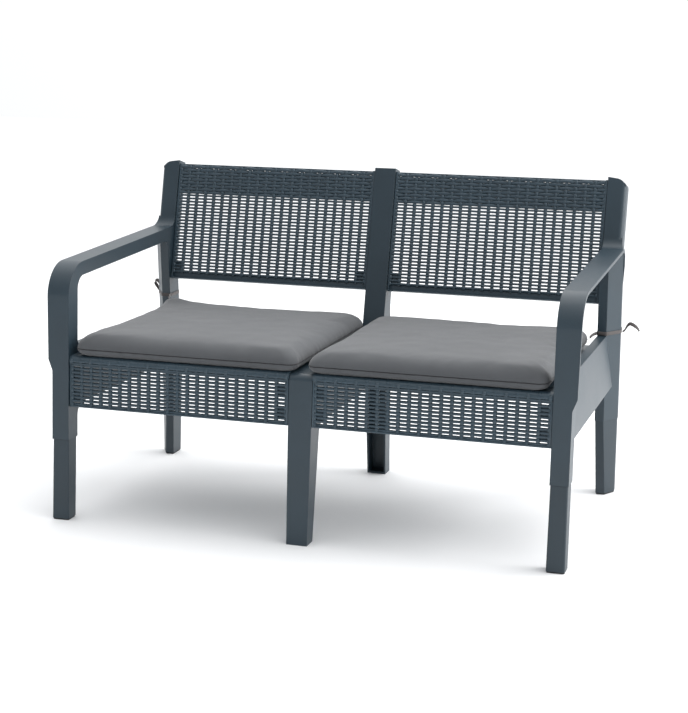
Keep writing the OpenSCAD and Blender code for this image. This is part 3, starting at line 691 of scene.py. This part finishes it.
CUSHION_X = (3 * MM, 556 * MM)
CUSHION_Y = (-347 * MM, 213 * MM)
CUSHION_LOW = 386.9 * MM
SEAM_Z = 402 * MM
CUSHION_TOP = 429 * MM
CROWN = 5 * MM
GRID = 46
CORNER_R = 26 * MM
SWELL_CAP = 7 * MM
SEAM_R = 1.2 * MM
GROOVE_DEPTH = 2.4 * MM
GROOVE_HALF = 2.0 * MM
FOLD_OUT = 2.6 * MM
FOLD_UP = 1.6 * MM
TIE_REACH = 70 * MM
TIE_PULL = 0.7


def grid_steps():
    """From -1 to 1, closer together towards the ends, where the seam is."""
    out = []
    for i in range(-GRID, GRID + 1):
        s = abs(i) / GRID
        out.append(math.copysign(1 - (1 - s) ** 1.35, i))
    return out


def rounded_place(a, b, hx, hy):
    """A square's point (a, b) carried onto a rounded rectangle of half sizes hx, hy."""
    q = max(abs(a), abs(b))
    if q == 0:
        return 0.0, 0.0
    r = CORNER_R * q
    x, y = hx * a, hy * b
    if abs(b) >= abs(a):
        over = (abs(x) - (hx * q - r)) / r
        if over > 0:
            turn = over * math.pi / 4
            x = math.copysign(hx * q - r + r * math.sin(turn), x)
            y = math.copysign(hy * q - r + r * math.cos(turn), y)
    else:
        over = (abs(y) - (hy * q - r)) / r
        if over > 0:
            turn = over * math.pi / 4
            y = math.copysign(hy * q - r + r * math.sin(turn), y)
            x = math.copysign(hx * q - r + r * math.cos(turn), x)
    return x, y


def quarter(d, reach):
    """Rise of a quarter circle, from 0 at d = 0 to 1 at d = reach."""
    t = min(1.0, d / reach)
    return math.sqrt(1 - (1 - t) ** 2)


def seam_places(end):
    """The grid places round the seam, in order."""
    along = range(end)
    back = range(end, 0, -1)
    near = [(i, 0) for i in along] + [(end, j) for j in along]
    far = [(i, end) for i in back] + [(0, j) for j in back]
    return near + far


def cushion_mesh(side, name):
    """Top and bottom sheets that meet at the seam, as one closed mesh, and its seam's ring."""
    inset = 4 * MM
    hx = (CUSHION_X[1] - CUSHION_X[0]) / 2 - inset
    hy = (CUSHION_Y[1] - CUSHION_Y[0]) / 2 - inset
    cx = side * sum(CUSHION_X) / 2
    cy = sum(CUSHION_Y) / 2
    steps = grid_steps()
    n = len(steps)
    bm = bmesh.new()
    top, bottom = {}, {}
    for i, a in enumerate(steps):
        for j, b in enumerate(steps):
            x, y = rounded_place(a, b, hx, hy)
            q = max(abs(a), abs(b))
            d = (1 - q) * min(hx, hy)
            mid = (1 - (x / hx) ** 2) * (1 - (y / hy) ** 2)
            z = SEAM_Z + (CUSHION_TOP - SEAM_Z) * quarter(d, 34 * MM) + CROWN * mid
            top[i, j] = bm.verts.new((cx + side * x, cy + y, z))
            if q == 1:
                bottom[i, j] = top[i, j]
            else:
                z = SEAM_Z - (SEAM_Z - CUSHION_LOW) * quarter(d, 18 * MM)
                bottom[i, j] = bm.verts.new((cx + side * x, cy + y, z))
    for i in range(n - 1):
        for j in range(n - 1):
            corners = [(i, j), (i + 1, j), (i + 1, j + 1), (i, j + 1)]
            bm.faces.new([top[c] for c in corners])
            bm.faces.new([bottom[c] for c in reversed(corners)])
    bm.verts.index_update()
    ring = [top[place].index for place in seam_places(n - 1)]
    return finish_mesh(name, bm, FABRIC_MAT), ring


def swell(obj):
    """Blows the cover up as cloth, then keeps each point within SWELL_CAP of its start."""
    scene = bpy.context.scene
    start = [v.co.copy() for v in obj.data.vertices]
    cloth = obj.modifiers.new("cloth", "CLOTH")
    settings = cloth.settings
    settings.quality = 6
    settings.mass = 0.25
    settings.tension_stiffness = 14
    settings.compression_stiffness = 14
    settings.shear_stiffness = 6
    settings.bending_stiffness = 0.6
    settings.use_pressure = True
    settings.uniform_pressure_force = 4
    settings.effector_weights.gravity = 0
    cloth.collision_settings.use_collision = False
    for number in range(1, 21):
        scene.frame_set(number)
    shaped = obj.evaluated_get(bpy.context.evaluated_depsgraph_get())
    moved = [v.co.copy() for v in shaped.data.vertices]
    obj.modifiers.remove(cloth)
    scene.frame_set(1)
    for v, a, b in zip(obj.data.vertices, start, moved):
        step = b - a
        if step.length > SWELL_CAP:
            step = step.normalized() * SWELL_CAP
        v.co = a + step


def pucker(p, seed):
    return noise.noise(Vector((p[0], p[1], seed)))


def dress_cushion(obj, side):
    """Seam groove, puckers, soft dents and the corner that the tie pulls."""
    data = obj.data
    lift = TIE_Z[side] - 400 * MM
    pull_at = Vector((side * 556 * MM, 213 * MM))
    x0, x1 = CUSHION_X
    y0, y1 = CUSHION_Y
    cx, cy = (x0 + x1) / 2, (y0 + y1) / 2
    for v in data.vertices:
        p = v.co
        ax = abs(p.x)
        to_side = min(ax - x0, x1 - ax)
        to_end = min(p.y - y0, y1 - p.y)
        d = max(0.0, min(to_side, to_end))
        across = p.y if to_side < to_end else ax
        out = Vector((0, 0, 0))
        if to_side < to_end:
            out.x = side * math.copysign(1, ax - cx)
        else:
            out.y = math.copysign(1, p.y - cy)
        near = math.exp(-((p.z - SEAM_Z) / GROOVE_HALF) ** 2) * math.exp(-d / (12 * MM))
        p -= out * GROOVE_DEPTH * near
        band = math.exp(-abs(p.z - SEAM_Z) / (10 * MM)) * math.exp(-d / (16 * MM))
        fold = pucker((across * 62, 0.3 * p.z * 60), 3.1 + side)
        fold += 0.6 * pucker((across * 130, 0), 7.7 - side)
        p += out * FOLD_OUT * fold * band
        p.z += FOLD_UP * fold * band
        if p.z > SEAM_Z:
            high = min(1.0, (p.z - SEAM_Z) / (20 * MM))
            p.z += high * 2.2 * MM * pucker((p.x * 7, p.y * 7), 11.3 + side)
            p.z += high * 0.6 * MM * pucker((p.x * 24, p.y * 24), 5.2 - side)
        reach = (Vector((p.x, p.y)) - pull_at).length
        grip = math.exp(-((reach / TIE_REACH) ** 2))
        p.z += grip * TIE_PULL * lift
        p.x = side * min(max(abs(p.x), 1.6 * MM), 557.4 * MM)
        p.z = max(p.z, CUSHION_LOW - 0.2 * MM)
    data.update()


def add_seam(obj, ring):
    """A near-black tube that lies in the groove between the two sheets: painted shade along the seam."""
    bm = bmesh.new()
    bm.from_mesh(obj.data)
    bm.verts.ensure_lookup_table()
    old = len(bm.faces)
    points = [bm.verts[k].co.copy() for k in ring]
    centre = sum(points, Vector()) / len(points)
    rings = []
    for k, p in enumerate(points):
        along = (points[(k + 1) % len(points)] - points[k - 1]).normalized()
        out = along.cross(Vector((0, 0, 1))).normalized()
        if out.dot(p - centre) < 0:
            out = -out
        turn = [2 * math.pi * a / 6 for a in range(6)]
        rings.append([p + SEAM_R * (math.cos(a) * out + math.sin(a) * Vector((0, 0, 1))) for a in turn])
    add_rings(bm, rings, closed=True)
    bm.faces.ensure_lookup_table()
    for face in bm.faces[old:]:
        face.material_index = 1
    bmesh.ops.recalc_face_normals(bm, faces=bm.faces[old:])
    bm.to_mesh(obj.data)
    bm.free()
    obj.data.materials.append(SEAM_SHADE_MAT)


def cushion(side, word):
    obj, ring = cushion_mesh(side, "cushion_" + word)
    swell(obj)
    sub = obj.modifiers.new("smooth", "SUBSURF")
    sub.levels = sub.render_levels = 1
    shaped = obj.evaluated_get(bpy.context.evaluated_depsgraph_get())
    data = bpy.data.meshes.new_from_object(shaped)
    obj.modifiers.remove(sub)
    obj.data = data
    dress_cushion(obj, side)
    add_seam(obj, ring)
    obj.data.polygons.foreach_set("use_smooth", [True] * len(obj.data.polygons))
    place_piece(obj, ["cushion_cover_" + word, "cushion_pad_" + word])


cushion(1, "right")
cushion(-1, "left")

# ---------------------------------------------------------------- floor and light

FLOOR_HALF = 14.0


def make_floor():
    mat, tree, shader, coords = new_material("floor_paper")
    shade = noise_node(tree, coords, 6.0, 3.0)
    colour = ramp(tree, shade, [(0.3, (0.93, 0.935, 0.94)), (0.7, (0.95, 0.95, 0.955))])
    tree.links.new(colour, shader.inputs["Base Color"])
    shader.inputs["Roughness"].default_value = 0.9
    shader.inputs["Specular IOR Level"].default_value = 0.1
    bm = bmesh.new()
    h = FLOOR_HALF
    bm.faces.new([bm.verts.new(p) for p in ((-h, -h, 0), (h, -h, 0), (h, h, 0), (-h, h, 0))])
    finish_mesh("floor", bm, mat, False)


def area_light(name, at, look_at, size, power, tint=(1, 1, 1)):
    data = bpy.data.lights.new(name, "AREA")
    data.shape = "RECTANGLE"
    data.size, data.size_y = size
    data.energy = power
    data.color = tint
    obj = bpy.data.objects.new(name, data)
    obj.location = at
    aim = (Vector(look_at) - Vector(at)).normalized()
    obj.rotation_mode = "QUATERNION"
    obj.rotation_quaternion = aim.to_track_quat("-Z", "Y")
    bpy.context.scene.collection.objects.link(obj)


def soft_sun(name, towards, power, spread):
    """A distant light as wide as the sky, which keeps the floor evenly white."""
    data = bpy.data.lights.new(name, "SUN")
    data.energy = power
    data.angle = math.radians(spread)
    obj = bpy.data.objects.new(name, data)
    obj.rotation_mode = "QUATERNION"
    obj.rotation_quaternion = Vector(towards).to_track_quat("Z", "Y")
    bpy.context.scene.collection.objects.link(obj)


def make_world(strength):
    """A white room that is dimmer in front of the bench than beside and behind it."""
    world = bpy.data.worlds.new("studio")
    bpy.context.scene.world = world
    world.use_nodes = True
    tree = world.node_tree
    back = tree.nodes["Background"]
    where = tree.nodes.new("ShaderNodeTexCoord")
    axes = tree.nodes.new("ShaderNodeSeparateXYZ")
    tree.links.new(where.outputs["Generated"], axes.inputs["Vector"])
    side = math_node(tree, "MULTIPLY", axes.outputs["X"], 0.35)
    rise = math_node(tree, "MULTIPLY", axes.outputs["Z"], 0.6)
    ahead = math_node(tree, "MULTIPLY", axes.outputs["Y"], 0.65)
    total = math_node(tree, "ADD", math_node(tree, "ADD", side, rise), ahead)
    fac = math_node(tree, "ADD", math_node(tree, "MULTIPLY", total, 0.5), 0.5)
    colour = ramp(tree, fac, [(0.1, ROOM_DIM), (0.75, ROOM_WHITE)])
    tree.links.new(colour, back.inputs["Color"])
    back.inputs["Strength"].default_value = strength


ROOM_DIM = (0.3, 0.32, 0.34)
ROOM_WHITE = (0.98, 0.99, 1.0)
make_floor()
make_world(1.08)
area_light("overhead", (0.3, 0.9, 3.2), (0, 0, 0.3), (4.2, 3.2), 50)
area_light("right", (3.4, 0.8, 1.9), (0, 0, 0.5), (2.6, 2.2), 85)
soft_sun("sky", (0.35, 0.25, 0.9), 1.0, 130)
bpy.context.scene.view_settings.view_transform = "Standard"
